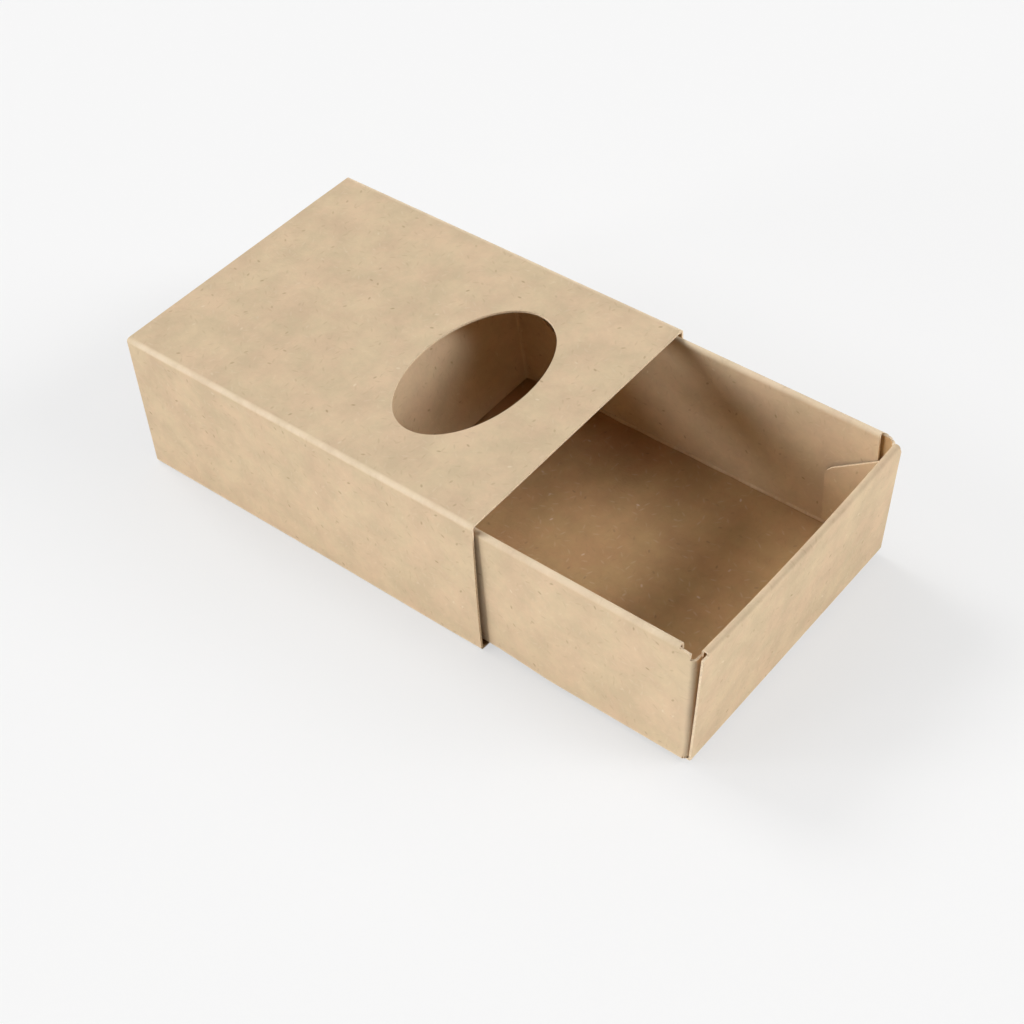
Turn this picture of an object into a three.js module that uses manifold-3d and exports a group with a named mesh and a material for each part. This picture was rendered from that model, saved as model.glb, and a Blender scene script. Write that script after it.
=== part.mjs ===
// Soap box with an oval window: a card sleeve, open at both ends, and a tray that slides in it.
// Sleeve and tray are each folded from one flat blank of card. Every panel between two creases
// is a mesh of its own, hung on its neighbour at their crease, so the groups fold as the blanks do.
// Millimetres. X runs along the slide towards the open end, Y across, Z up.
// The origin is the centre of the sleeve's underside.
import * as THREE from 'three';
import { mergeVertices } from 'three/addons/utils/BufferGeometryUtils.js';
import Module from 'manifold-3d';

// Card
const board = 0.5;
const creaseInside = 0.25; // inner radius of an ordinary fold
const creaseBead = 0.45; // radius of the ridge that creasing raises inside the tray's folds
const hemInside = 0.1; // inner radius of the tight fold along the side walls' tops
const plyGap = 0.2; // air between plies that lie against each other
const cutGap = 0.3; // how far a raw edge stops short of the panel that it faces

// Sleeve, outside
const sleeveLength = 95;
const sleeveWidth = 70;
const sleeveHeight = 36;
const windowAlong = 26;
const windowAcross = 43;
const windowFromMouth = 27.5; // centre of the oval to the open end
const glueFlapReach = 12;
const glueFlapTaper = 4; // cut off the flap's ends at its free edge

// Tray, outside
const slideGap = 0.25; // running gap at each side and under the tray
const endInset = 0.25; // each end of the tray's floor inside the closed sleeve's mouth
const trayHeight = 32.5;
const trayOut = 51; // how far the tray is drawn out
const endLean = 3.6; // degrees that the end walls spring outwards
const endDrop = 0.8; // the end walls' rims below the side walls' tops
const endRim = 0.75; // flat strip between the twin creases of an end wall's top
const endShoulder = 0.8; // chamfer from an end wall's rim to its side edge
const rimInset = 0.55; // the rim's ends inside the side walls' inner faces

// Side walls
const linerInset = 2.6; // the inner ply's ends inside the tray's ends
const linerFoot = 1; // the inner ply's raw edge above the floor
const linerNick = 1.5; // chamfer on the inner ply's lower corners
const shoulderDrop = 1.5; // how far the outer ply slopes down past the hem

// Corner tabs, between an end wall's two plies
const tabReach = 20;
const tabFoot = 1.25; // above the tray's underside
const tabTop = 29;
const tabTaper = 2.5; // cut off at the top and the bottom of the free edge

// Ear flaps, inside the tray
const earReach = 12.5;
const earHinge = 24.3; // height of the ear at its crease, above the floor
const earFree = 15.3; // height of its free edge
const earCorner = 1.5; // radius of its free corner

// Faces along each fold's arc
const arcSteps = 3;
const beadSteps = 12;
const ovalSteps = 32;

const creaseOuter = creaseInside + board;
const hemOuter = hemInside + board;
const quarter = Math.PI / 2;
const lean = THREE.MathUtils.degToRad(endLean);
const overrun = 2 * board; // how far cutting solids pass the card's faces

const sleeveCard = new THREE.MeshStandardMaterial({ color: 0xd3b68f, roughness: 0.9, metalness: 0 });
const trayCard = new THREE.MeshStandardMaterial({ color: 0xcfb088, roughness: 0.9, metalness: 0 });

const wasm = await Module();
wasm.setup();

function toSolid(geometry) {
  const plain = geometry.clone();
  plain.deleteAttribute('normal');
  plain.deleteAttribute('uv');
  const merged = mergeVertices(plain);
  return new wasm.Manifold(new wasm.Mesh({
    numProp: 3,
    vertProperties: merged.attributes.position.array,
    triVerts: merged.index.array,
  }));
}

function toGeometry(solid) {
  const mesh = solid.getMesh();
  const geometry = new THREE.BufferGeometry();
  geometry.setAttribute('position', new THREE.BufferAttribute(mesh.vertProperties, 3));
  geometry.setIndex(new THREE.BufferAttribute(mesh.triVerts, 1));
  geometry.computeVertexNormals();
  return geometry;
}

// A panel's frame: x leads away from its crease, y is the card's thickness measured from the face
// on the outside of the fold, and z runs along the crease from its middle.

// The card's section across a crease: the bend, then the flat stretch.
function panelSection(angle, inside, reach) {
  const outer = inside + board;
  const section = new THREE.Shape();
  section.moveTo(reach, 0);
  section.lineTo(reach, board);
  section.lineTo(0, board);
  section.absarc(0, outer, inside, -quarter, -quarter - angle, true);
  section.absarc(0, outer, outer, -quarter - angle, -quarter, false);
  return section;
}

function foldedStrip(angle, inside, reach, width) {
  const strip = new THREE.ExtrudeGeometry(panelSection(angle, inside, reach), {
    depth: width,
    bevelEnabled: false,
    curveSegments: arcSteps,
  });
  return strip.translate(0, 0, -width / 2);
}

// The parent panel's last stretch, seen from the frame past a fold.
function parentEnd(angle, outer, width) {
  const end = new THREE.BoxGeometry(2 * outer, board, width);
  end.translate(-outer - outer * Math.sin(angle), board / 2 - outer + outer * Math.cos(angle), 0);
  return end.rotateZ(-angle);
}

// A strip with a round ridge inside its fold. The ridge stops short of the crease's ends.
function creasedStrip(angle, reach, width, creaseWidth) {
  const ridge = new THREE.CylinderGeometry(creaseBead, creaseBead, creaseWidth - 2 * cutGap, beadSteps);
  const half = angle / 2;
  ridge.rotateX(quarter);
  ridge.translate(-creaseInside * Math.sin(half), creaseOuter - creaseInside * Math.cos(half), 0);
  const strip = toSolid(foldedStrip(angle, creaseInside, reach, width));
  const cut = toSolid(ridge).subtract(toSolid(parentEnd(angle, creaseOuter, creaseWidth)));
  return toGeometry(strip.add(cut));
}

// An outline drawn on the panel in x and z, as thick as it has to be to cut right through.
function outlineSolid(outline, low, high) {
  const solid = new THREE.ExtrudeGeometry(outline, {
    depth: high - low,
    bevelEnabled: false,
    curveSegments: ovalSteps,
  });
  return toSolid(solid.rotateX(quarter).translate(0, high, 0));
}

function trimmed(strip, outline, outer) {
  const cutter = outlineSolid(outline, -overrun, 2 * outer + overrun);
  return toGeometry(toSolid(strip).intersect(cutter));
}

function polygon(points) {
  return new THREE.Shape(points.map(([x, z]) => new THREE.Vector2(x, z)));
}

// Points for one half of an outline that is the same on both sides of z = 0.
function mirrored(points) {
  const other = points.map(([x, z]) => [x, -z]).reverse();
  return polygon([...points, ...other]);
}

function addPanel(frame, name, geometry, card) {
  const mesh = new THREE.Mesh(geometry, card);
  mesh.name = name;
  frame.add(mesh);
  return frame;
}

// A frame on a panel's edge at x, z, turned so that its own x leads out over that edge.
function edgeFrame(panel, x, z, turn) {
  const edge = new THREE.Group();
  edge.position.set(x, 0, z);
  edge.rotation.y = turn;
  panel.add(edge);
  return edge;
}

// The next panel's frame, past a fold by angle towards the inside.
function foldFrame(edge, angle, outer) {
  const next = new THREE.Group();
  next.position.set(outer * Math.sin(angle), outer - outer * Math.cos(angle), 0);
  next.rotation.z = angle;
  edge.add(next);
  return next;
}

// The same edge seen from the card's other face, for a fold the other way.
function flippedFrame(edge) {
  const flipped = new THREE.Group();
  flipped.position.y = board;
  flipped.rotation.x = Math.PI;
  edge.add(flipped);
  return flipped;
}

// The bottom panel's frame of either blank: x along the box, the inside facing up.
function baseFrame(parent, x, z) {
  const base = new THREE.Group();
  base.position.set(x, 0, z);
  base.rotation.x = quarter;
  parent.add(base);
  return base;
}

// A flat plate from x, z to x, z in a base frame.
function plate(lowX, highX, lowZ, highZ) {
  const solid = new THREE.BoxGeometry(highX - lowX, board, highZ - lowZ);
  return solid.translate((lowX + highX) / 2, board / 2, (lowZ + highZ) / 2);
}

// Sleeve

// The bottom runs from the near crease to a raw edge under the far wall's fold.
function sleeveBottom(base) {
  const nearCrease = sleeveWidth / 2 - creaseOuter;
  const farEdge = sleeveWidth / 2 - cutGap;
  const bottom = plate(-sleeveLength / 2, sleeveLength / 2, -farEdge, nearCrease);
  addPanel(base, 'sleeve_bottom', bottom, sleeveCard);
  return edgeFrame(base, 0, nearCrease, -quarter);
}

function sleeveWall(edge, name, reach) {
  const frame = foldFrame(edge, quarter, creaseOuter);
  addPanel(frame, name, foldedStrip(quarter, creaseInside, reach, sleeveLength), sleeveCard);
  return frame;
}

// The top has the oval cut through it, longer across the box than along it.
function sleeveTop(edge) {
  const reach = sleeveWidth - 2 * creaseOuter;
  const frame = foldFrame(edge, quarter, creaseOuter);
  const oval = new THREE.Shape();
  const fromMiddle = sleeveLength / 2 - windowFromMouth;
  oval.absellipse(reach / 2, -fromMiddle, windowAcross / 2, windowAlong / 2, 0, 2 * Math.PI);
  const sheet = toSolid(foldedStrip(quarter, creaseInside, reach, sleeveLength));
  const cut = sheet.subtract(outlineSolid(oval, -overrun, board + overrun));
  addPanel(frame, 'sleeve_top', toGeometry(cut), sleeveCard);
  return edgeFrame(frame, reach, 0, 0);
}

// The glue flap lies on the bottom panel and closes the sleeve.
function sleeveGlueFlap(edge) {
  const frame = foldFrame(edge, quarter, creaseOuter);
  const strip = foldedStrip(quarter, creaseInside, glueFlapReach, sleeveLength);
  const half = sleeveLength / 2;
  const outline = mirrored([
    [-2 * creaseOuter, half],
    [0, half],
    [glueFlapReach, half - glueFlapTaper],
  ]);
  addPanel(frame, 'sleeve_glue_flap', trimmed(strip, outline, creaseOuter), sleeveCard);
}

function buildSleeve(box) {
  const nearReach = sleeveHeight - 2 * creaseOuter;
  const farReach = nearReach - board - plyGap;
  const base = baseFrame(box, 0, 0);
  const near = sleeveWall(sleeveBottom(base), 'sleeve_near_wall', nearReach);
  const topEnd = sleeveTop(edgeFrame(near, nearReach, 0, 0));
  const far = sleeveWall(topEnd, 'sleeve_far_wall', farReach);
  sleeveGlueFlap(edgeFrame(far, farReach, 0, 0));
}

// Tray

const trayLength = sleeveLength - 2 * endInset;
const trayWidth = sleeveWidth - 2 * (board + slideGap);
const trayLift = 2 * board + plyGap + slideGap; // the tray rides over the sleeve's glue flap
const floorLength = trayLength - 2 * creaseOuter;
const floorWidth = trayWidth - 2 * creaseOuter;
const sideReach = trayHeight - creaseOuter - hemOuter;
const sideInner = trayWidth / 2 - 2 * hemOuter; // from the middle to the inner plies' faces
const hemEnd = trayLength / 2 - linerInset;

// Half the side wall's length at x above its bottom crease: its ends lean with the end walls.
function sideEnd(x) {
  return floorLength / 2 - (board + plyGap) / Math.cos(lean) + x * Math.tan(lean);
}

// A side wall's outer ply slopes down past the hem, then steps down to the corner tabs.
function sideOuter(floor, side, turn) {
  const frame = foldFrame(edgeFrame(floor, 0, turn > 0 ? -floorWidth / 2 : floorWidth / 2, turn),
    quarter, creaseOuter);
  const strip = creasedStrip(quarter, sideReach, 2 * sideEnd(sideReach), 2 * sideEnd(0));
  const low = sideReach - shoulderDrop;
  const outline = mirrored([
    [-2 * creaseOuter, sideEnd(0)],
    [0, sideEnd(0)],
    [low, sideEnd(low)],
    [sideReach, hemEnd],
  ]);
  return addPanel(frame, `tray_${side}_wall_outer`, trimmed(strip, outline, creaseOuter), trayCard);
}

// The inner ply hangs from the hem and stops short of the floor, above the bottom crease.
function sideInnerPly(outer, side) {
  const reach = sideReach + creaseOuter - board - linerFoot;
  const frame = foldFrame(edgeFrame(outer, sideReach, 0, 0), Math.PI, hemOuter);
  const strip = foldedStrip(Math.PI, hemInside, reach, 2 * hemEnd);
  const outline = mirrored([
    [-2 * hemOuter, hemEnd],
    [reach - linerNick, hemEnd],
    [reach, hemEnd - linerNick],
  ]);
  addPanel(frame, `tray_${side}_wall_inner`, trimmed(strip, outline, hemOuter), trayCard);
}

// A corner tab folds round behind the end wall's outer ply. up is the way along its crease that
// leads to the wall's top.
function cornerTab(outer, name, end) {
  const up = -end;
  const foot = tabFoot - creaseOuter;
  const top = tabTop - creaseOuter;
  const middle = (foot + top) / 2;
  const height = (top - foot) / Math.cos(lean);
  const edge = edgeFrame(outer, middle, end * sideEnd(middle), -end * (quarter + lean));
  const frame = foldFrame(edge, quarter, creaseOuter);
  const strip = foldedStrip(quarter, creaseInside, tabReach, height);
  const outline = polygon([
    [-2 * creaseOuter, -up * height / 2],
    [0, -up * height / 2],
    [tabReach, up * (tabTaper - height / 2)],
    [tabReach, up * (height / 2 - tabTaper)],
    [0, up * height / 2],
    [-2 * creaseOuter, up * height / 2],
  ]);
  addPanel(frame, name, trimmed(strip, outline, creaseOuter), trayCard);
}

function sideWall(floor, side, turn) {
  const outer = sideOuter(floor, side, turn);
  sideInnerPly(outer, side);
  const front = turn > 0 ? 1 : -1;
  cornerTab(outer, `tray_${side}_front_tab`, front);
  cornerTab(outer, `tray_${side}_back_tab`, -front);
}

// End walls: outer ply, narrow rim and inner ply, rolled over the corner tabs.

const endReach = (trayHeight - endDrop - 2 * creaseOuter - endRim * Math.sin(lean)) / Math.cos(lean);
const rimHalf = floorWidth / 2 + creaseInside - rimInset;
const earPlane = sideInner - plyGap; // from the middle to the ears' outer faces
const linerHalf = earPlane - creaseOuter;

function endOuter(floor, end, turn) {
  const half = floorWidth / 2 + creaseOuter - cutGap;
  const edge = edgeFrame(floor, turn ? -floorLength / 2 : floorLength / 2, 0, turn);
  const frame = foldFrame(edge, quarter - lean, creaseOuter);
  const strip = creasedStrip(quarter - lean, endReach, 2 * half, floorWidth);
  const outline = mirrored([
    [-2 * creaseOuter, floorWidth / 2],
    [0, floorWidth / 2],
    [creaseOuter, half],
    [endReach - endShoulder, half],
    [endReach, rimHalf],
  ]);
  return addPanel(frame, `tray_${end}_wall_outer`, trimmed(strip, outline, creaseOuter), trayCard);
}

function endRimStrip(outer, end) {
  const frame = foldFrame(edgeFrame(outer, endReach, 0, 0), quarter, creaseOuter);
  const strip = foldedStrip(quarter, creaseInside, endRim, 2 * rimHalf);
  return addPanel(frame, `tray_${end}_rim`, strip, trayCard);
}

// The inner ply comes down to the floor. Its side edges step in where the ears hang on it.
function endInnerPly(rim, end) {
  const reach = endReach + (creaseOuter - board - cutGap
    + (creaseOuter + endRim - board) * Math.sin(lean)) / Math.cos(lean);
  const earStart = reach - earHinge;
  const frame = foldFrame(edgeFrame(rim, endRim, 0, 0), quarter, creaseOuter);
  const strip = foldedStrip(quarter, creaseInside, reach, 2 * rimHalf);
  const outline = mirrored([
    [-2 * creaseOuter, rimHalf],
    [earStart - cutGap, rimHalf],
    [earStart - cutGap, linerHalf],
    [reach, linerHalf],
  ]);
  addPanel(frame, `tray_${end}_wall_inner`, trimmed(strip, outline, creaseOuter), trayCard);
  return { frame, reach, earStart };
}

// An ear folds back along the side wall: highest at its crease, sloping to a round free corner.
function ear(inner, name, side) {
  const height = inner.reach - inner.earStart;
  const edge = edgeFrame(inner.frame, inner.reach, side * linerHalf, -side * quarter);
  const frame = foldFrame(flippedFrame(edge), quarter, creaseOuter);
  const strip = foldedStrip(quarter, creaseInside, earReach, 2 * height);
  const up = -side;
  const slope = Math.atan2(earHinge - earFree, earReach);
  const tuck = earCorner * Math.tan((quarter - slope) / 2);
  const foot = -earReach * Math.tan(lean);
  const free = earFree + foot;
  const outline = new THREE.Shape();
  outline.moveTo(-2 * creaseOuter, 0);
  outline.lineTo(0, 0);
  outline.lineTo(earReach, up * foot);
  outline.lineTo(earReach, up * (free - tuck));
  outline.quadraticCurveTo(earReach, up * free,
    earReach - tuck * Math.cos(slope), up * (free + tuck * Math.sin(slope)));
  outline.lineTo(0, up * height);
  outline.lineTo(-2 * creaseOuter, up * height);
  addPanel(frame, name, trimmed(strip, outline, creaseOuter), trayCard);
}

function endWall(floor, end, turn) {
  const outer = endOuter(floor, end, turn);
  const inner = endInnerPly(endRimStrip(outer, end), end);
  const near = turn ? -1 : 1;
  ear(inner, `tray_${end}_near_ear`, near);
  ear(inner, `tray_${end}_far_ear`, -near);
}

function buildTray(box) {
  const floor = baseFrame(box, trayOut, trayLift);
  const sheet = plate(-floorLength / 2, floorLength / 2, -floorWidth / 2, floorWidth / 2);
  addPanel(floor, 'tray_floor', sheet, trayCard);
  sideWall(floor, 'near', -quarter);
  sideWall(floor, 'far', quarter);
  endWall(floor, 'front', 0);
  endWall(floor, 'back', Math.PI);
}

const soapBox = new THREE.Group();
soapBox.name = 'soap_box_with_window';
buildSleeve(soapBox);
buildTray(soapBox);

export default soapBox;
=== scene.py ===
import math
from types import SimpleNamespace

import bmesh
import bpy
from mathutils import Matrix, Vector, noise


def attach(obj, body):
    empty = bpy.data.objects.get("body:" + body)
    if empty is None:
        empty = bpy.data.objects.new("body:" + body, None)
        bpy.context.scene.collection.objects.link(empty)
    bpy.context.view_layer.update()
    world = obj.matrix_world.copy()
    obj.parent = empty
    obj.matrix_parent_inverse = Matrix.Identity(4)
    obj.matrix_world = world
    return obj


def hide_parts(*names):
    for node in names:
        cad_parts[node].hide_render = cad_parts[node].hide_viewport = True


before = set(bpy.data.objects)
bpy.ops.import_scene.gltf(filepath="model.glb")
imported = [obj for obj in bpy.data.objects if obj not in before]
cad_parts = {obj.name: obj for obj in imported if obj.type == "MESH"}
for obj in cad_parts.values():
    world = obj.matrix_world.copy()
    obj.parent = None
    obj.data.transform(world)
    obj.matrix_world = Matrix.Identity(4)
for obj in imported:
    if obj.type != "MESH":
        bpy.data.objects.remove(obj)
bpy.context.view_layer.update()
print("frame loaded:", len(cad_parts), "nodes")

mm = 0.001

# Both pieces are cut from flat card and folded up, so a blank is drawn flat, in millimetres,
# with its inner face up. Its places are measured to the middle of the card.
cardStock = {
    "thickness": 0.5,
    "foldRadius": 0.5,
    "foldSteps": 6,
    "hemRadius": 0.5,
    "hemSteps": 8,
    "lineEvery": 6.0,      # spacing of the blank's lattice between its marks
    "lineLeast": 0.02,     # marks closer than this share one line
    "wearAndLightReach": 0.45,     # how far a crease's wear and painted highlight run onto the panels
    "waveHeight": 0.09,    # slow waviness of the panels
    "waveLength": 38.0,
    "waveFade": 9.0,       # the waviness dies away this near a crease
    "mapUnit": 100,        # millimetres of blank to one unit of its UV map
    "sharpFrom": 40,       # degrees
}


def foldWidth(angle, radius, steps):
    return 2 * radius * math.sin(math.radians(angle) / steps / 2) * steps


def foldLines(start, way, angle, radius=cardStock["foldRadius"], steps=cardStock["foldSteps"]):
    width = foldWidth(angle, radius, steps)
    return [start + way * width * i / steps for i in range(steps + 1)]


def smoothStep(t):
    t = min(1.0, max(0.0, t))
    return t * t * (3 - 2 * t)


def mirrored(side, low, high):
    # a stretch on the positive side, or its mirror image on the negative side
    return (low, high) if side > 0 else (-high, -low)


def addObject(name, data):
    item = bpy.data.objects.new(name, data)
    bpy.context.scene.collection.objects.link(item)
    return item


def latticeLines(marks):
    marks = sorted(marks)
    lines = [marks[0]]
    for mark in marks[1:]:
        start = lines[-1]
        gap = mark - start
        if gap < cardStock["lineLeast"]:
            continue
        parts = max(1, round(gap / cardStock["lineEvery"]))
        lines += [start + gap * (i + 1) / parts for i in range(parts)]
    return lines


def cutBlank(alongMarks, acrossMarks, panels):
    # panels: name -> rectangles (low x, high x, low y, high y) of the flat blank
    along = latticeLines(alongMarks)
    across = latticeLines(acrossMarks)
    blank = bmesh.new()
    bmesh.ops.create_grid(blank, x_segments=len(along) - 1, y_segments=len(across) - 1, size=1)
    for vert in blank.verts:
        i = round((vert.co.x + 1) / 2 * (len(along) - 1))
        j = round((vert.co.y + 1) / 2 * (len(across) - 1))
        vert.co = (along[i], across[j], 0)
    panelOf = blank.faces.layers.int.new("panel")
    names = list(panels)
    waste = []
    for face in blank.faces:
        x, y, _ = face.calc_center_median()
        face[panelOf] = -1
        for index, name in enumerate(names):
            if any(a < x < b and c < y < d for a, b, c, d in panels[name]):
                face[panelOf] = index
        if face[panelOf] < 0:
            waste.append(face)
    bmesh.ops.delete(blank, geom=waste, context="FACES")
    return blank, names


def panelFaces(blank, names, wanted):
    panelOf = blank.faces.layers.int["panel"]
    return [f for f in blank.faces if names[f[panelOf]] in wanted]


def inOrder(items):
    # each item once, in an order that is the same at every run
    return list(dict.fromkeys(items))


def panelVerts(blank, names, wanted):
    return inOrder(v for f in panelFaces(blank, names, wanted) for v in f.verts)


def snip(blank, names, panel, a, b):
    # cuts off what lies left of the line from a to b
    faces = panelFaces(blank, names, [panel])
    edges = inOrder(e for f in faces for e in f.edges)
    verts = panelVerts(blank, names, [panel])
    left = Vector((a[1] - b[1], b[0] - a[0], 0)).normalized()
    bmesh.ops.bisect_plane(blank, geom=faces + edges + verts, dist=1e-5,
                           plane_co=(a[0], a[1], 0), plane_no=left, clear_outer=True)


def stripDistance(x, y, strip):
    a, b, c, d, _ = strip
    return math.hypot(max(a - x, 0, x - b), max(c - y, 0, y - d))


def stripWearAndLight(x, y, strip):
    # wear and painted highlight, strongest along the crease's middle line
    a, b, c, d, wearAndLight = strip
    width = min(b - a, d - c)
    halfX, halfY = (b - a) / 2, (d - c) / 2
    past = math.hypot(max(0.0, abs(x - (a + b) / 2) - halfX + width / 2),
                      max(0.0, abs(y - (c + d) / 2) - halfY + width / 2))
    return wearAndLight * max(0.0, 1 - (past / (width / 2 + cardStock["wearAndLightReach"])) ** 2)


def markCreases(blank, strips, seed):
    # keeps each corner's flat place, marks the creases' wear and painted highlight and lets the
    # panels wave a little;
    # a strip is a rectangle of the blank and how strongly it is worn and painted paler
    flat = blank.verts.layers.float_vector.new("flat")
    wornAndLit = blank.verts.layers.float.new("wornAndLit")
    flatMap = blank.loops.layers.uv.new("flat")
    for vert in blank.verts:
        x, y, _ = vert.co
        vert[flat] = vert.co
        away = min(stripDistance(x, y, strip) for strip in strips)
        vert[wornAndLit] = max(stripWearAndLight(x, y, strip) for strip in strips)
        fade = min(1.0, away / cardStock["waveFade"])
        place = Vector((x, y, seed)) / cardStock["waveLength"]
        vert.co.z = cardStock["waveHeight"] * fade * fade * noise.noise(place)
    unit = cardStock["mapUnit"]
    for face in blank.faces:
        if face.normal.z < 0:
            face.normal_flip()
        for loop in face.loops:
            loop[flatMap].uv = (loop.vert[flat].x / unit, loop.vert[flat].y / unit)


def foldAt(blank, names, panels, start, outward, angle, radius=cardStock["foldRadius"],
           steps=cardStock["foldSteps"], lean=0.0):
    # folds the panels past a crease towards the blank's inner face, its far lines first;
    # a lean turns the crease in the plane of the blank
    flat = blank.verts.layers.float_vector["flat"]
    verts = panelVerts(blank, names, panels)
    start, outward = Vector((*start, 0)), Vector((*outward, 0))
    step = foldWidth(abs(angle), radius, steps) / steps
    along = Vector((outward.y, -outward.x, 0))
    along.rotate(Matrix.Rotation(math.radians(lean), 3, "Z"))
    for i in range(steps, -1, -1):
        turn = math.radians(angle) / steps * (0.5 if i in (0, steps) else 1)
        pivot = start + outward * step * i
        past = [v for v in verts if (v[flat] - start).dot(outward) > step * i - 0.001]
        bmesh.ops.rotate(blank, verts=past, cent=pivot, matrix=Matrix.Rotation(turn, 3, along))


def finishCard(blank, name, place, body, nodes):
    # gives the folded sheet its thickness: reverse face, cut edges and outer face
    flat = blank.verts.layers.float_vector["flat"]
    blank.verts.layers.float_vector.remove(flat)
    bmesh.ops.translate(blank, verts=blank.verts, vec=place)
    bmesh.ops.scale(blank, verts=blank.verts, vec=(mm, mm, mm))
    mesh = bpy.data.meshes.new(name)
    blank.to_mesh(mesh)
    blank.free()
    mesh.shade_smooth()
    card = addObject(name, mesh)
    for surface in (cardReverse, cardEdge, cardFace):
        mesh.materials.append(surface)
    thick = card.modifiers.new("thickness", "SOLIDIFY")
    thick.thickness = cardStock["thickness"] * mm
    thick.offset = 0
    thick.use_even_offset = True
    thick.use_rim = True
    thick.material_offset_rim = 1
    thick.material_offset = 2
    evaluated = card.evaluated_get(bpy.context.evaluated_depsgraph_get())
    solid = bpy.data.meshes.new_from_object(evaluated)
    card.modifiers.clear()
    card.data = solid
    solid.name = name
    solid.shade_smooth()
    solid.set_sharp_from_angle(angle=math.radians(cardStock["sharpFrom"]))
    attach(card, body)
    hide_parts(*nodes)


creaseRidge = {
    "every": 1.6,          # spacing of the rings along a ridge
    "wobble": 0.10,
    "waveLength": 6.0,
    # the ridges are painted paler: partly wear, partly painted highlight
    "wornAndLit": 0.75,
    "sides": 10,
    "sharpFrom": 50,       # degrees
}


def layRidge(ridges, start, end, radius, seed):
    # the ridge that creasing raises inside a fold: a slightly uneven rod with closed ends
    start, end = Vector(start), Vector(end)
    length = (end - start).length
    wobble = creaseRidge["wobble"]
    rod = bmesh.new()
    wornAndLit = rod.verts.layers.float.new("wornAndLit")
    flatMap = rod.loops.layers.uv.new("flat")
    bmesh.ops.create_cone(rod, cap_ends=True, segments=creaseRidge["sides"], radius1=radius,
                          radius2=radius, depth=length)
    sides = [e for e in rod.edges if abs(e.verts[0].co.z - e.verts[1].co.z) > length / 2]
    bmesh.ops.subdivide_edges(rod, edges=sides, cuts=round(length / creaseRidge["every"]))
    for vert in rod.verts:
        place = Vector((vert.co.z / creaseRidge["waveLength"], seed, 0))
        swell = 1 + wobble * 2 * noise.noise(place)
        sway = Vector((noise.noise(place + Vector((0, 9, 0))),
                       noise.noise(place + Vector((0, 0, 7))), 0))
        vert.co.xy = vert.co.xy * swell + sway.xy * wobble
        # each ridge is painted paler: wear and painted highlight
        vert[wornAndLit] = creaseRidge["wornAndLit"]
    for face in rod.faces:
        for loop in face.loops:
            loop[flatMap].uv = (loop.vert.co.z / cardStock["mapUnit"], seed)
    turn = Vector((0, 0, 1)).rotation_difference((end - start).normalized()).to_matrix()
    bmesh.ops.rotate(rod, verts=rod.verts, cent=(0, 0, 0), matrix=turn)
    bmesh.ops.translate(rod, verts=rod.verts, vec=(start + end) / 2)
    rodMesh = bpy.data.meshes.new("rod")
    rod.to_mesh(rodMesh)
    rod.free()
    ridges.from_mesh(rodMesh)
    bpy.data.meshes.remove(rodMesh)


def finishRidges(ridges, name, body):
    bmesh.ops.scale(ridges, verts=ridges.verts, vec=(mm, mm, mm))
    bmesh.ops.recalc_face_normals(ridges, faces=ridges.faces)
    mesh = bpy.data.meshes.new(name)
    ridges.to_mesh(mesh)
    ridges.free()
    mesh.shade_smooth()
    mesh.set_sharp_from_angle(angle=math.radians(creaseRidge["sharpFrom"]))
    mesh.materials.append(cardReverse)
    piece = addObject(name, mesh)
    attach(piece, body)


# materials

cardSurface = {
    "outer": {"pinkish": (0.690, 0.516, 0.346), "yellowish": (0.672, 0.526, 0.346)},
    # the reverse face is darker and browner than the outer face: partly the card's own colour,
    # partly painted shade for the box's insides
    "reverse": {"pinkish": (0.562, 0.350, 0.183), "yellowish": (0.542, 0.360, 0.183)},
    "darkFibre": (0.36, 0.235, 0.13),
    "paleFibre": (0.83, 0.70, 0.53),
    # the crease colour: partly the card's wear, partly painted highlight where a bend's shading
    # dips
    "wornAndLitCrease": (0.93, 0.775, 0.575),
    "cutEdge": (0.80, 0.64, 0.45),
    "edgeShade": (0.84, 1.10),
    "cloudScale": 0.11,            # pulp clouds to the millimetre
    "cloudTint": (0.38, 0.62),     # the noise levels between the two tints
    "cloudShade": (0.34, 0.66),    # and between dark and light
    "shade": (0.935, 1.065),
    "patches": (0.38, 0.60),       # the noise levels over which the creases' wear and painted highlight come and go
    "leastWearAndLight": 0.5,
    "wornAndLitShare": 0.85,
    "toothScale": 1.6,
    "toothDepth": 0.07,
    "roughness": (0.95, 0.85),     # of the dark clouds and of the light ones
    "specular": 0.08,
    "edgeRoughness": 0.95,
    "edgeSpecular": 0.1,
}

# millimetres; share is the part of the cells with a fibre, and pale the part of those
# that are paler than the card
fineFibres = {
    "spacing": 1.9,
    "length": 1.6,
    "width": 0.42,
    "share": 0.9,
    "pale": 0.55,
    "strength": 0.19,
    "shift": (3.1, 1.7, 0),
}
specks = {
    "spacing": 4.6,
    "length": 1.0,
    "width": 0.5,
    "share": 0.5,
    "pale": 0.25,
    "strength": 0.62,
    "shift": (7.7, 2.9, 0),
}


class NodeBench:
    # lays nodes out in the tree of a material or world, and joins them
    def __init__(self, owner):
        owner.use_nodes = True
        self.tree = owner.node_tree
        self.tree.nodes.clear()
        self.column = 0

    def add(self, kind, inputs=None, **settings):
        node = self.tree.nodes.new("ShaderNode" + kind)
        node.location = (self.column * 180, 0)
        self.column += 1
        for key, value in settings.items():
            setattr(node, key, value)
        for key, value in (inputs or {}).items():
            if isinstance(value, bpy.types.NodeSocket):
                self.tree.links.new(value, node.inputs[key])
            else:
                node.inputs[key].default_value = value
        return node


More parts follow.
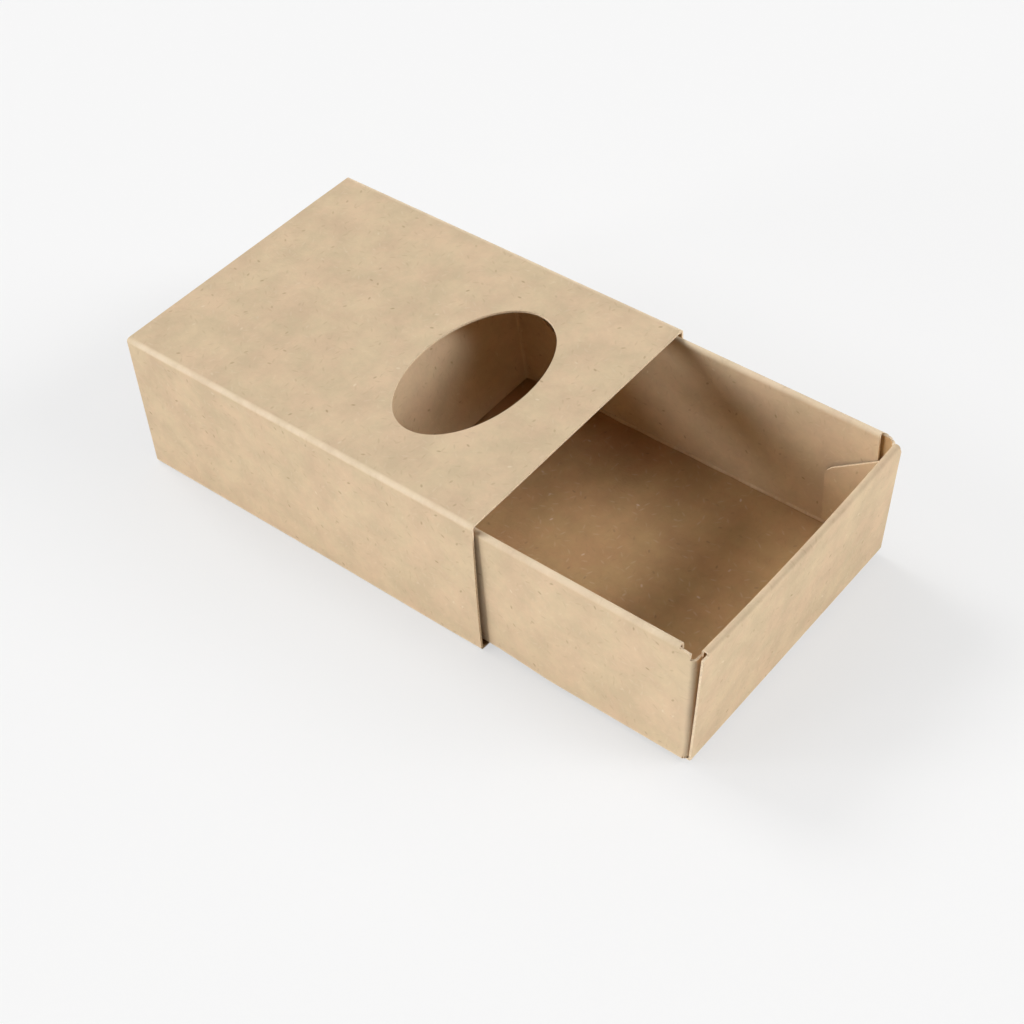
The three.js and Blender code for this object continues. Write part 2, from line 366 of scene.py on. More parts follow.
def flatPlace(bench, perMillimetre, shift=(0, 0, 0)):
    # the flat blank's own coordinates, so that the fibres run on over the folds
    source = bench.add("UVMap", uv_map="flat").outputs[0]
    scale = cardStock["mapUnit"] * perMillimetre
    place = bench.add("Mapping", {"Vector": source, "Scale": (scale, scale, 1), "Location": shift})
    return place.outputs[0]


def flatNoise(bench, perMillimetre, detail, roughness):
    return bench.add("TexNoise", {"Vector": flatPlace(bench, perMillimetre), "Scale": 1.0,
                                  "Detail": detail, "Roughness": roughness},
                     noise_dimensions="2D")


def spread(bench, value, low, high, fromLow=0.0, fromHigh=1.0):
    return bench.add("MapRange", {"Value": value, "From Min": fromLow, "From Max": fromHigh,
                                  "To Min": low, "To Max": high}).outputs["Result"]


def combine(bench, operation, a, b):
    return bench.add("Math", {0: a, 1: b}, operation=operation).outputs[0]


def mixColour(bench, factor, a, b):
    mix = bench.add("Mix", data_type="RGBA")
    for socket, value in ((mix.inputs["Factor"], factor), (mix.inputs[6], a), (mix.inputs[7], b)):
        if isinstance(value, bpy.types.NodeSocket):
            bench.tree.links.new(value, socket)
        elif isinstance(value, tuple):
            socket.default_value = (*value, 1)
        else:
            socket.default_value = value
    return mix.outputs[2]


def tinted(colour, level):
    return tuple(c * level for c in colour)


def strewn(bench, colour, kind):
    # strews fibres over the card, one to a cell of a pattern and each turned its own way
    spacing = kind["spacing"]
    place = flatPlace(bench, 1 / spacing, kind["shift"])
    cells = bench.add("TexVoronoi", {"Vector": place, "Scale": 1.0, "Randomness": 0.9},
                      voronoi_dimensions="2D", feature="F1")
    own = bench.add("SeparateColor", {"Color": cells.outputs["Color"]}).outputs
    away = bench.add("VectorMath", {0: place, 1: cells.outputs["Position"]}, operation="SUBTRACT")
    turned = bench.add("VectorRotate", {"Vector": away.outputs[0],
                                        "Angle": combine(bench, "MULTIPLY", own[0], math.tau)},
                       rotation_type="Z_AXIS").outputs[0]
    slimness = (spacing / kind["length"], spacing / kind["width"], 0)
    shaped = bench.add("VectorMath", {0: turned, 1: slimness}, operation="MULTIPLY").outputs[0]
    reach = bench.add("VectorMath", {0: shaped}, operation="LENGTH").outputs["Value"]
    near = spread(bench, reach, 1.0, 0.0, 0.25, 0.6)
    there = combine(bench, "MULTIPLY", near, spread(bench, own[1], 1.0, 0.0, 0.0, kind["share"]))
    dark = spread(bench, own[2], 0.0, 1.0, kind["pale"] - 0.01, kind["pale"] + 0.01)
    tone = mixColour(bench, dark, cardSurface["paleFibre"], cardSurface["darkFibre"])
    return mixColour(bench, combine(bench, "MULTIPLY", there, kind["strength"]), colour, tone)


def makeCardFace(side):
    material = bpy.data.materials.new("kraft card " + side)
    bench = NodeBench(material)
    # pulp clouds: one noise gives the tint, the light and dark and the patches of the creases' wear
    # and painted highlight
    pulp = flatNoise(bench, cardSurface["cloudScale"], 6.0, 0.68)
    cloud = bench.add("SeparateColor", {"Color": pulp.outputs["Color"]}).outputs
    tint = spread(bench, cloud[1], 0.0, 1.0, *cardSurface["cloudTint"])
    tints = cardSurface[side]
    colour = mixColour(bench, tint, tints["pinkish"], tints["yellowish"])
    shade = spread(bench, cloud[0], 0.0, 1.0, *cardSurface["cloudShade"])
    level = spread(bench, shade, *cardSurface["shade"])
    colour = bench.add("VectorMath", {0: colour, "Scale": level}, operation="SCALE").outputs[0]
    colour = strewn(bench, colour, fineFibres)
    colour = strewn(bench, colour, specks)

    # the creases are painted paler: partly the card's wear, partly painted highlight
    wornAndLit = bench.add("Attribute", attribute_name="wornAndLit").outputs["Fac"]
    patches = spread(bench, cloud[2], cardSurface["leastWearAndLight"], 1.0, *cardSurface["patches"])
    wornAndLitShare = combine(bench, "MULTIPLY", wornAndLit, patches)
    wornAndLitShare = combine(bench, "MULTIPLY", wornAndLitShare, cardSurface["wornAndLitShare"])
    colour = mixColour(bench, wornAndLitShare, colour, cardSurface["wornAndLitCrease"])

    tooth = flatNoise(bench, cardSurface["toothScale"], 2.0, 0.6).outputs["Fac"]
    bump = bench.add("Bump", {"Height": tooth, "Strength": 0.5,
                              "Distance": cardSurface["toothDepth"] * mm}).outputs[0]
    rough = spread(bench, shade, *cardSurface["roughness"])
    shader = bench.add("BsdfPrincipled", {"Base Color": colour, "Roughness": rough, "Normal": bump,
                                          "Specular IOR Level": cardSurface["specular"]})
    bench.add("OutputMaterial", {"Surface": shader.outputs[0]})
    return material


def makeCardEdge():
    material = bpy.data.materials.new("kraft card cut edge")
    bench = NodeBench(material)
    place = bench.add("TexCoord").outputs["Object"]
    fuzz = bench.add("TexNoise", {"Vector": place, "Scale": 1800, "Detail": 2}).outputs["Fac"]
    dark, light = (tinted(cardSurface["cutEdge"], level) for level in cardSurface["edgeShade"])
    colour = mixColour(bench, spread(bench, fuzz, 0.0, 1.0, 0.3, 0.7), dark, light)
    bump = bench.add("Bump", {"Height": fuzz, "Strength": 0.4, "Distance": 0.1 * mm}).outputs[0]
    shader = bench.add("BsdfPrincipled", {"Base Color": colour, "Normal": bump,
                                          "Roughness": cardSurface["edgeRoughness"],
                                          "Specular IOR Level": cardSurface["edgeSpecular"]})
    bench.add("OutputMaterial", {"Surface": shader.outputs[0]})
    return material


cardFace = makeCardFace("outer")
cardReverse = makeCardFace("reverse")
cardEdge = makeCardEdge()
print("materials made")

# sleeve

sleeve = {
    "length": 95.0,
    "width": 69.5,         # between the middles of its walls
    "height": 36.0,
    "bottom": 68.95,       # from the far raw edge to the near crease
    "nearWall": 34.5,
    "top": 68.5,
    "farWall": 33.8,
    "glueFlap": 12.0,
    "flapTaper": 4.0,
    "windowAlong": 26.0,
    "windowAcross": 43.0,
    "windowFromMouth": 27.5,
    "windowSteps": 96,
    "windowRoom": (16.0, 24.0),    # half the hole that is bridged to the oval
    "farEdge": 34.7,       # the bottom panel's raw edge, across the box
    # centres of the four bends, across and up
    "bends": ((-34.25, 0.75), (-34.25, 35.25), (34.25, 35.25), (34.25, 1.45)),
    "ridge": (0.4, 0.2),   # radius, and how far it sits from the bend's centre towards its corner
    # how strongly each crease is painted paler: wear of the card and painted highlight
    "wearAndLight": (0.5, 0.85, 0.7, 0.3),
    "waveSeed": 3.0,
    # the near wall springs out at the mouth, most at the middle height
    "nearBow": {"out": 0.4, "middle": 13.0, "reach": 22.0},
    # and its foot lifts there: from and over are measured across, start along the box
    "nearLift": {"up": 0.15, "from": 26.0, "over": 8.0, "top": 30.0, "start": 30.0},
    # how far the top runs forwards at either end, at its near and far edges
    "mouthSkew": (0.65, -0.35),
    "backSkew": (0.0, 0.5),
}


def sprung(place):
    # the folded card springs a little out of true towards the sleeve's ends
    half, width = sleeve["length"] / 2, sleeve["width"]
    x, y, z = place
    bow, lift = sleeve["nearBow"], sleeve["nearLift"]
    out = 0.0
    if y < sleeve["bends"][0][0] - 0.1:
        high = max(0.0, 1 - ((z - bow["middle"]) / bow["reach"]) ** 2)
        out = bow["out"] * high * smoothStep(x / half)
    foot = smoothStep((-y - lift["from"]) / lift["over"]) * smoothStep(1 - z / lift["top"])
    up = lift["up"] * foot * smoothStep((x - lift["start"]) / (half - lift["start"]))
    near, far = sleeve["mouthSkew"] if x > 0 else sleeve["backSkew"]
    skew = near + (far - near) * (y + width / 2) / width
    return Vector((x + skew * z / sleeve["height"] * (x / half) ** 2, y - out, z + up))


def cutWindow(blank, names, room, centre, middle):
    # a square hole, bridged to the oval
    inside = [f for f in blank.faces if room[0] < f.calc_center_median().x < room[1]
              and room[2] < f.calc_center_median().y < room[3]]
    hole = [e for e in inOrder(e for f in inside for e in f.edges)
            if sum(f in inside for f in e.link_faces) == 1]
    bmesh.ops.delete(blank, geom=inside, context="FACES")
    ring = bmesh.ops.create_circle(blank, segments=sleeve["windowSteps"], radius=1)["verts"]
    radii = (sleeve["windowAlong"] / 2, sleeve["windowAcross"] / 2, 1)
    bmesh.ops.scale(blank, verts=ring, vec=radii)
    bmesh.ops.translate(blank, verts=ring, vec=(centre, middle, 0))
    rim = inOrder(e for v in ring for e in v.link_edges)
    panelOf = blank.faces.layers.int["panel"]
    for face in bmesh.ops.bridge_loops(blank, edges=hole + rim)["faces"]:
        face[panelOf] = names.index("top")


def makeSleeve():
    half = sleeve["length"] / 2
    bend = foldWidth(90, cardStock["foldRadius"], cardStock["foldSteps"])
    names = ["bottom", "nearWall", "top", "farWall", "glueFlap"]
    ends = [sleeve["farEdge"]]
    panels = {}
    marks = []
    for name in names:
        last = ends[-1]
        start = last if name == "bottom" else last - bend
        ends.append(start - sleeve[name])
        panels[name] = [(-half, half, ends[-1], last)]
        marks += [start, ends[-1]]
        if name != "bottom":
            marks += foldLines(last, -1, 90)
        if name == "top":
            middle = (start + ends[-1]) / 2
    creases = ends[1:-1]
    for crease in creases:
        marks += [crease + cardStock["wearAndLightReach"], crease - bend - cardStock["wearAndLightReach"]]
    centre = half - sleeve["windowFromMouth"]
    roomAlong, roomAcross = sleeve["windowRoom"]
    room = [centre - roomAlong, centre + roomAlong, middle - roomAcross, middle + roomAcross]
    blank, names = cutBlank([-half, half, *room[:2]], marks + room[2:], panels)
    cutWindow(blank, names, room, centre, middle)

    free = ends[-1]
    flapTop, slope = free + sleeve["glueFlap"], half - sleeve["flapTaper"]
    snip(blank, names, "glueFlap", (half, flapTop), (slope, free))
    snip(blank, names, "glueFlap", (-slope, free), (-half, flapTop))
    strips = [(-half, half, c - bend, c, wearAndLight) for c, wearAndLight in zip(creases, sleeve["wearAndLight"])]
    markCreases(blank, strips, sleeve["waveSeed"])
    for i in range(4, 0, -1):
        foldAt(blank, names, names[i:], (0, ends[i]), (0, -1), 90)
    for vert in blank.verts:
        vert.co = sprung(vert.co)
    nodes = ["sleeve_bottom", "sleeve_near_wall", "sleeve_top", "sleeve_far_wall",
             "sleeve_glue_flap"]
    place = (0, 0, cardStock["thickness"] / 2)
    finishCard(blank, "sleeveCard", place, "sleeve", nodes)

    ridges = bmesh.new()
    reach = half - cardStock["thickness"]
    radius, inset = sleeve["ridge"]
    out = inset * math.sqrt(0.5)
    for seed, (y, z) in enumerate(sleeve["bends"]):
        y += math.copysign(out, y)
        z += math.copysign(out, z - sleeve["height"] / 2)
        layRidge(ridges, (-reach, y, z), (reach, y, z), radius, seed + 0.5)
    finishRidges(ridges, "sleeveCreaseRidges", "sleeve")


makeSleeve()
print("sleeve folded")

# tray

tray = {
    "drawnOut": 51.0,
    "underside": 1.45,
    "floorLong": 93.0,
    "floorWide": 67.0,
    "sideHigh": 31.0,
    "sideInner": 30.2,
    "sideEnd": 45.55,      # half the side wall's flat length, at its foot
    "hemEnd": {"near": 44.85, "far": 45.25},
    "shoulder": {"near": 0.2, "far": 0.25},
    "nick": 1.5,           # cut off the inner ply's foot corners
    "endLean": 6.0,
    "endTop": 31.35,       # top of an end wall's roll, above the middle of the floor's card
    "endBow": 0.6,         # how much less an end wall leans at its two ends
    "rollRadius": 0.55,
    "endHalf": 33.7,
    "endShoulder": {"near": 0.1, "far": 1.3},
    "rim": 0.1,            # flat between the roll's two bends
    "rimHalf": {"near": 32.0, "far": 33.0},
    "innerFoot": 0.53,     # how high the end wall's inner ply stops above the floor
    "linerHalf": 31.75,    # that ply's half width between the ears
    "earReach": 12.6,
    "earHinge": 26.5,
    "earNotch": 0.3,       # the liner narrows this far before the ears begin
    "earFree": 15.9,
    "earTaper": 1.3,       # the ears' free edges stand upright on the leaning walls
    "earCorner": 2.2,
    "earFold": 93.5,       # the ears spring off the side walls a little
    "tabLean": 3.2,        # degrees that the tabs' creases lean outwards
    "tabRadius": 0.85,
    "tabReach": 20.0,
    "tabFoot": 0.5,        # above the end of the floor's fold
    "tabTop": {"near": 29.25, "far": 30.4},
    "tabTaper": 2.5,
    # where a tab bends out behind the end wall's roll: from this far past the rim's end,
    # and over this length
    "tabBend": (0.1, 0.6),
    "tabBow": 0.85,        # the tabs' share of the end walls' bow
    # the long walls, at the floor and at the top
    "drawnIn": {"near": (0.6, 0.3), "far": (-0.1, 0.0)},
    # their feet run out again ahead of the sleeve: how far, and from where over what length
    "flare": {"near": 0.7, "far": 0.0},
    "flareSpan": (-1.0, 15.0),
    "sag": (0.16, -0.0060, 0.014),     # level, and how the height changes along and across
    "ridge": (0.75, -0.1),
    "ridgeShort": 0.6,     # how far the ridges end before the floor's ends
    # how strongly each crease is painted paler: wear of the card and painted highlight
    "wearAndLight": {"floorSide": 0.5, "hem": 0.6, "floorEnd": 0.4, "roll": 0.0, "tab": 0.2, "ear": 0.5},
    "waveSeed": 8.0,
}
longSides = (("far", 1), ("near", -1))
shortSides = (("front", 1), ("back", -1))


def tabOf(long, short):
    return long + short.capitalize() + "Tab"


def trayLines():
    # the lines of the flat tray, from its middle outwards
    lean, roll = math.radians(tray["endLean"]), tray["rollRadius"]
    wide = 2 * roll + tray["rim"]
    foldHigh = cardStock["foldRadius"] * (1 - math.sin(lean))
    rollHigh = (roll + tray["rim"]) * math.sin(lean) + roll
    endHigh = (tray["endTop"] - foldHigh - rollHigh) / math.cos(lean)
    innerTop = foldHigh + endHigh * math.cos(lean) + wide * math.sin(lean)
    at = SimpleNamespace()
    at.side = foldLines(tray["floorWide"] / 2, 1, 90)
    at.hem = foldLines(at.side[-1] + tray["sideHigh"], 1, 180,
                       cardStock["hemRadius"], cardStock["hemSteps"])
    at.hemTop = at.hem[len(at.hem) // 2]
    at.sideFree = at.hem[-1] + tray["sideInner"]
    at.end = foldLines(tray["floorLong"] / 2, 1, 90 - tray["endLean"])
    at.rim = foldLines(at.end[-1] + endHigh, 1, 90, roll)
    at.inner = foldLines(at.rim[-1] + tray["rim"], 1, 90, roll)
    at.endFree = at.inner[-1] + (innerTop - tray["innerFoot"]) / math.cos(lean)
    at.ear = foldLines(tray["linerHalf"], 1, 90)
    at.earFrom = at.endFree - tray["earHinge"]
    at.earFree = at.ear[-1] + tray["earReach"]
    at.notch = at.earFrom - tray["earNotch"]
    at.tab = foldLines(tray["sideEnd"], 1, 90, tray["tabRadius"])
    at.tabFree = at.tab[-1] + tray["tabReach"]
    at.tabLow = at.side[-1] + tray["tabFoot"]
    at.tabHigh = {long: at.side[-1] + top for long, top in tray["tabTop"].items()}
    at.half, at.wide = tray["endHalf"], tray["floorWide"] / 2
    at.rims = (tray["rimHalf"]["near"], tray["rimHalf"]["far"])
    return at


def cutTray(at):
    panels = {"floor": [(-at.end[0], at.end[0], -at.side[0], at.side[0])]}
    for long, s in longSides:
        hemEnd = tray["hemEnd"][long]
        panels[long + "Outer"] = [(-at.tab[0], at.tab[0], *mirrored(s, at.side[0], at.hem[0]))]
        panels[long + "Inner"] = [(-hemEnd, hemEnd, *mirrored(s, at.hem[0], at.sideFree))]
        if long == "far":
            # the hem's outer half runs on past the inner ply's ends
            panels["farHemEnd"] = [(*mirrored(m, hemEnd, at.tab[0]), at.hem[0], at.hemTop)
                                   for m in (1, -1)]
        tabHeight = mirrored(s, at.tabLow, at.tabHigh[long])
        earWidth = mirrored(s, at.ear[0], at.earFree)
        for short, m in shortSides:
            panels[tabOf(long, short)] = [(*mirrored(m, at.tab[0], at.tabFree), *tabHeight)]
        for short, m in shortSides:
            panels[short + long + "Ear"] = [(*mirrored(m, at.earFrom, at.endFree), *earWidth)]
    near, far = at.rims
    for short, m in shortSides:
        panels[short + "Outer"] = [(*mirrored(m, at.end[0], at.end[-1]), -at.wide, at.wide),
                                   (*mirrored(m, at.end[-1], at.rim[0]), -at.half, at.half)]
        panels[short + "Rim"] = [(*mirrored(m, at.rim[0], at.inner[0]), -near, far)]
        panels[short + "Inner"] = [(*mirrored(m, at.inner[0], at.notch), -near, far),
                                   (*mirrored(m, at.notch, at.endFree),
                                    -tray["linerHalf"], tray["linerHalf"])]
    reach = cardStock["wearAndLightReach"]
    along = [0, *at.end, *at.rim, *at.inner, *at.tab, at.end[0] - reach, at.end[-1] + reach,
             at.rim[0] - reach, at.inner[-1] + reach, at.tab[0] - reach,
             *tray["hemEnd"].values(), at.notch, at.earFrom, at.endFree, at.tabFree]
    across = [0, *at.side, *at.hem, *at.ear, at.side[0] - reach, at.side[-1] + reach,
              at.hem[0] - reach, at.hem[-1] + reach, at.ear[0] - reach, at.ear[-1] + reach,
              *at.rims, at.half, at.tabLow, *at.tabHigh.values(), at.sideFree, at.earFree]
    return cutBlank([s * m for m in along for s in (1, -1)],
                    [s * m for m in across for s in (1, -1)], panels)


def snipCorner(blank, names, corner, panel, a, b):
    # snips along a line that is given for the front far corner, mirrored for the others
    mx, my = corner
    a, b = (a[0] * mx, a[1] * my), (b[0] * mx, b[1] * my)
    snip(blank, names, panel, *((a, b) if mx * my > 0 else (b, a)))


def trimSide(blank, names, at, corner, long, short):
    # the long wall's shoulder and nick, and its tab's two tapers
    hemEnd, taper = tray["hemEnd"][long], tray["tabTaper"]
    shoulder = (at.tab[0], at.hem[0] - tray["shoulder"][long])
    if long == "near":
        snipCorner(blank, names, corner, "nearOuter", (hemEnd, at.hem[0]), shoulder)
    else:
        for panel in ("farOuter", "farHemEnd"):
            snipCorner(blank, names, corner, panel, (hemEnd, at.hemTop), shoulder)
    snipCorner(blank, names, corner, long + "Inner", (hemEnd - tray["nick"], at.sideFree),
               (hemEnd, at.sideFree - tray["nick"]))
    tab, high = tabOf(long, short), at.tabHigh[long]
    snipCorner(blank, names, corner, tab, (at.tab[-1], high), (at.tabFree, high - taper))
    snipCorner(blank, names, corner, tab, (at.tabFree, at.tabLow + taper), (at.tab[-1], at.tabLow))


def trimEnd(blank, names, at, corner, long, short):
    # the end wall's shoulder, and the ear's slope, foot, round corner and free edge
    snipCorner(blank, names, corner, short + "Outer",
               (at.rim[0] - tray["endShoulder"][long], at.half), (at.rim[0], tray["rimHalf"][long]))
    ear = short + long + "Ear"
    reach, free = tray["earReach"], at.earFree
    drop = reach * math.tan(math.atan2(tray["earHinge"] - tray["earFree"], reach))
    foot = reach * math.tan(math.radians(tray["endLean"]))
    point = Vector((at.earFrom + drop, free))
    snipCorner(blank, names, corner, ear, (at.earFrom, at.ear[-1]), point)
    snipCorner(blank, names, corner, ear, (at.endFree - foot, free), (at.endFree, at.ear[-1]))
    first = point - Vector((drop, reach)).normalized() * tray["earCorner"]
    last = point + Vector((tray["earCorner"], 0))
    curve = [first * (1 - t) ** 2 + point * 2 * t * (1 - t) + last * t * t
             for t in (0, 0.25, 0.5, 0.75, 1)]
    for a, b in zip(curve, curve[1:]):
        snipCorner(blank, names, corner, ear, a, b)
    snipCorner(blank, names, corner, ear, point, (at.endFree, free - tray["earTaper"]))


def trayStrips(at):
    wearAndLight = tray["wearAndLight"]
    strips = []
    for s in (1, -1):
        strips += [(-at.end[0], at.end[0], *mirrored(s, at.side[0], at.side[-1]),
                    wearAndLight["floorSide"]),
                   (-tray["sideEnd"], tray["sideEnd"], *mirrored(s, at.hem[0], at.hem[-1]),
                    wearAndLight["hem"]),
                   (*mirrored(s, at.end[0], at.end[-1]), -at.wide, at.wide, wearAndLight["floorEnd"]),
                   (*mirrored(s, at.rim[0], at.rim[-1]), -at.half, at.half, wearAndLight["roll"]),
                   (*mirrored(s, at.inner[0], at.inner[-1]), -at.half, at.half, wearAndLight["roll"])]
        for t in (1, -1):
            strips += [(*mirrored(s, at.tab[0], at.tab[-1]),
                        *mirrored(t, at.tabLow, at.tabHigh["near"]), wearAndLight["tab"]),
                       (*mirrored(s, at.earFrom, at.endFree),
                        *mirrored(t, at.ear[0], at.ear[-1]), wearAndLight["ear"])]
    return strips


def leanTabs(blank, names, at):
    # the side walls' ends lean, and the tabs with them
    flat = blank.verts.layers.float_vector["flat"]
    lean = math.tan(math.radians(tray["tabLean"]))
    tabs = [tabOf(long, short) for long, _ in longSides for short, _ in shortSides]
    for vert in panelVerts(blank, names, ["farOuter", "farHemEnd", "nearOuter", *tabs]):
        x, y, _ = vert[flat]
        hemEnd = tray["hemEnd"]["far" if y > 0 else "near"]
        share = min(1.0, max(0.0, (abs(x) - hemEnd) / (at.tab[0] - hemEnd)))
        vert.co.x = x + math.copysign(share * lean * max(0.0, abs(y) - at.side[-1]), x)


def foldTray(blank, names, at):
    # the outermost flaps first
    hemRadius, hemSteps = cardStock["hemRadius"], cardStock["hemSteps"]
    for short, mx in shortSides:
        for long, my in longSides:
            ear, tab = [short + long + "Ear"], [tabOf(long, short)]
            foldAt(blank, names, ear, (0, my * at.ear[0]), (0, my), -tray["earFold"])
            foldAt(blank, names, tab, (mx * at.tab[0], my * at.side[-1]), (mx, 0), 90,
                   tray["tabRadius"], lean=-mx * my * tray["tabLean"])
    for long, my in longSides:
        hemmed = [long + "Inner", long + "HemEnd"]
        foldAt(blank, names, hemmed, (0, my * at.hem[0]), (0, my), 180, hemRadius, hemSteps)
        wall = [long + "Outer", *hemmed, *(tabOf(long, short) for short, _ in shortSides)]
        foldAt(blank, names, wall, (0, my * at.side[0]), (0, my), 90)
    for short, mx in shortSides:
        liner = [short + "Inner", short + "farEar", short + "nearEar"]
        rolled = [short + "Rim", *liner]
        wall = [short + "Outer", *rolled]
        foldAt(blank, names, liner, (mx * at.inner[0], 0), (mx, 0), 90, tray["rollRadius"])
        foldAt(blank, names, rolled, (mx * at.rim[0], 0), (mx, 0), 90, tray["rollRadius"])
        foldAt(blank, names, wall, (mx * at.end[0], 0), (mx, 0), 90 - tray["endLean"])


def bowEnds(blank, names, at):
    # the end walls bow outwards in their middle
    bow = tray["endBow"] / tray["endTop"]
    walls = [a + b for a, _ in shortSides for b in ("Outer", "Rim", "Inner", "nearEar", "farEar")]
    for vert in panelVerts(blank, names, walls):
        x, y, z = vert.co
        vert.co.x -= math.copysign(bow * max(0.0, z) * min(1.0, abs(y) / at.half) ** 2, x)
    # away from their creases the tabs lean out to the middle of the end walls' rolls
    start, over = tray["tabBend"]
    slack = math.tan(math.radians(tray["endLean"])) - math.tan(math.radians(tray["tabLean"]))
    slack -= bow * tray["tabBow"]
    crease = at.tab[0] + tray["tabRadius"]
    back = at.end[0] + cardStock["foldRadius"] - tray["rollRadius"] - tray["rim"] / 2 - crease
    tabs = [tabOf(long, short) for long, _ in longSides for short, _ in shortSides]
    for vert in panelVerts(blank, names, tabs):
        x, y, z = vert.co
        inwards = tray["rimHalf"]["far" if y > 0 else "near"] + start - abs(y)
        vert.co.x += math.copysign(smoothStep(inwards / over) * (back + slack * z), x)


def settled(place):
    # the folded tray sits a little skew: low at its front and along its near side
    x, y, z = place
    long = "far" if y > 0 else "near"
    foot, top = tray["drawnIn"][long]
    start, over = tray["flareSpan"]
    foot -= tray["flare"][long] * smoothStep((x - start) / over)
    drawnIn = foot + (top - foot) * z / tray["endTop"]
    level, along, across = tray["sag"]
    squeeze = 1 - drawnIn * 2 / tray["floorWide"]
    return Vector((x, y * squeeze, z + level + along * x + across * y))


def makeTray():
    at = trayLines()
    blank, names = cutTray(at)
    for short, mx in shortSides:
        for long, my in longSides:
            trimSide(blank, names, at, (mx, my), long, short)
            trimEnd(blank, names, at, (mx, my), long, short)
    markCreases(blank, trayStrips(at), tray["waveSeed"])
    leanTabs(blank, names, at)
    foldTray(blank, names, at)
    bowEnds(blank, names, at)
    for vert in blank.verts:
        vert.co = settled(vert.co)
    nodes = [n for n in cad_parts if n.startswith("tray_")]
    place = Vector((tray["drawnOut"], 0, tray["underside"] + cardStock["thickness"] / 2))
    finishCard(blank, "trayCard", place, "tray", nodes)

    ridges = bmesh.new()
    radius, inset = tray["ridge"]
    offset = inset * math.sqrt(0.5)
    high = cardStock["foldRadius"] - offset
    reach = at.end[0] - tray["ridgeShort"]
    for my in (1, -1):
        y = my * (at.side[0] + offset)
        layRidge(ridges, (-reach, y, high), (reach, y, high), radius, my * 3.5)
    for vert in ridges.verts:
        vert.co = settled(vert.co) + place
    finishRidges(ridges, "trayCreaseRidges", "tray")


makeTray()
print("tray folded")

# studio

studio = {
    "floorHalf": 4.0,
    "floorColour": (0.93, 0.93, 0.93),
    "floorShare": 0.27,    # how much of the floor's light and shade the camera sees
    "floorPlain": 0.692,   # and the plain part
    # a faint shade where the box stands: its reach, its level at its darkest and how open
    # the floor is there
    "contact": {"reach": 0.06, "level": 0.86, "open": 0.35},
    "backdrop": 0.93,
    # azimuth, elevation and spread in degrees, and level, of each softbox
    "lamps": {
        "leftTopBox": (180, 60, 40, 0.128),
        "leftBox": (175, 44, 22, 0.440),
        "leftHighBox": (220, 28, 18, 0.283),
        "frontLowBox": (240, 8, 16, 0.482),
        "rightLowBox": (40, 10, 40, 0.472),
        "rightBox": (30, 30, 20, 0.323),
        "rightHighBox": (15, 40, 16, 0.137),
    },
}


def seenByEye(bench):
    # camera, glossy and transmission rays see the plain background
    path = bench.add("LightPath").outputs
    seen = combine(bench, "MAXIMUM", path["Is Camera Ray"], path["Is Glossy Ray"])
    return combine(bench, "MAXIMUM", seen, path["Is Transmission Ray"])


def makeFloorMaterial():
    material = bpy.data.materials.new("pale floor")
    bench = NodeBench(material)
    plain, contact = studio["floorPlain"], studio["contact"]
    shownColour = tinted(studio["floorColour"], studio["floorShare"])
    lit = bench.add("BsdfDiffuse", {"Color": (*studio["floorColour"], 1)})
    soft = bench.add("BsdfDiffuse", {"Color": (*shownColour, 1)})
    shade = bench.add("AmbientOcclusion", {"Distance": contact["reach"]}, samples=8).outputs["AO"]
    level = spread(bench, shade, plain * contact["level"], plain, contact["open"], 1.0)
    glow = bench.add("Emission", {"Color": (1, 1, 1, 1), "Strength": level})
    shown = bench.add("AddShader", {0: soft.outputs[0], 1: glow.outputs[0]})
    mixed = bench.add("MixShader", {0: seenByEye(bench), 1: lit.outputs[0], 2: shown.outputs[0]})
    bench.add("OutputMaterial", {"Surface": mixed.outputs[0]})
    return material


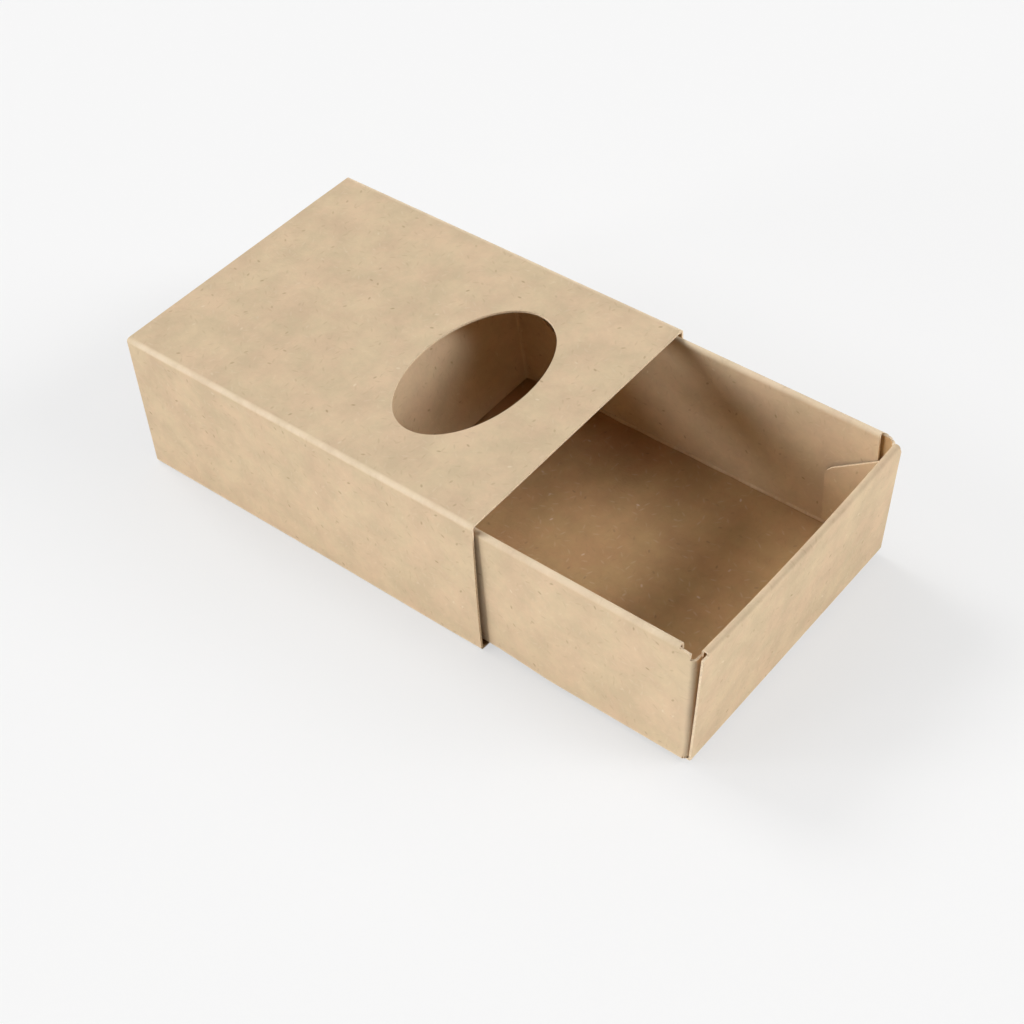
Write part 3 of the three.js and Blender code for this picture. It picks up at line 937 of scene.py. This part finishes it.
def makeStudio():
    floorBlank = bmesh.new()
    bmesh.ops.create_grid(floorBlank, x_segments=1, y_segments=1, size=studio["floorHalf"])
    mesh = bpy.data.meshes.new("floor")
    floorBlank.to_mesh(mesh)
    floorBlank.free()
    mesh.materials.append(makeFloorMaterial())
    floor = addObject("floor", mesh)

    world = bpy.data.worlds.new("studio")
    bpy.context.scene.world = world
    bench = NodeBench(world)
    level = combine(bench, "MULTIPLY", seenByEye(bench), studio["backdrop"])
    back = bench.add("Background", {"Color": (1, 1, 1, 1), "Strength": level})
    bench.add("OutputWorld", {"Surface": back.outputs[0]})

    for name, (azimuth, elevation, width, level) in studio["lamps"].items():
        lamp = bpy.data.lights.new(name, "SUN")
        lamp.energy = math.pi * level
        lamp.angle = math.radians(width)
        light = addObject(name, lamp)
        azimuth, elevation = math.radians(azimuth), math.radians(elevation)
        towards = Vector((math.cos(azimuth) * math.cos(elevation),
                          math.sin(azimuth) * math.cos(elevation), math.sin(elevation)))
        light.rotation_mode = "QUATERNION"
        light.rotation_quaternion = towards.to_track_quat("Z", "Y")


makeStudio()
print("studio lit")

# camera, at the photograph's viewing angle

viewpoint = {
    "lens": 71.632,
    "sensor": 36,
    "clip": (0.01, 20),
    "place": (237.13, -228.30, 312.75),    # millimetres
    "turn": 42.669,
    "tilt": 44.66,
    "roll": -5.056,
}


def makeCamera():
    data = bpy.data.cameras.new("camera")
    data.lens = viewpoint["lens"]
    data.sensor_width = viewpoint["sensor"]
    data.clip_start, data.clip_end = viewpoint["clip"]
    camera = addObject("camera", data)
    turn, tilt, roll = (math.radians(viewpoint[k]) for k in ("turn", "tilt", "roll"))
    spin = (Matrix.Rotation(turn, 4, "Z") @ Matrix.Rotation(tilt, 4, "X")
            @ Matrix.Rotation(roll, 4, "Z"))
    camera.matrix_world = Matrix.Translation(Vector(viewpoint["place"]) * mm) @ spin
    bpy.context.scene.camera = camera


makeCamera()
bpy.context.scene.view_settings.view_transform = "Standard"
print("camera placed")
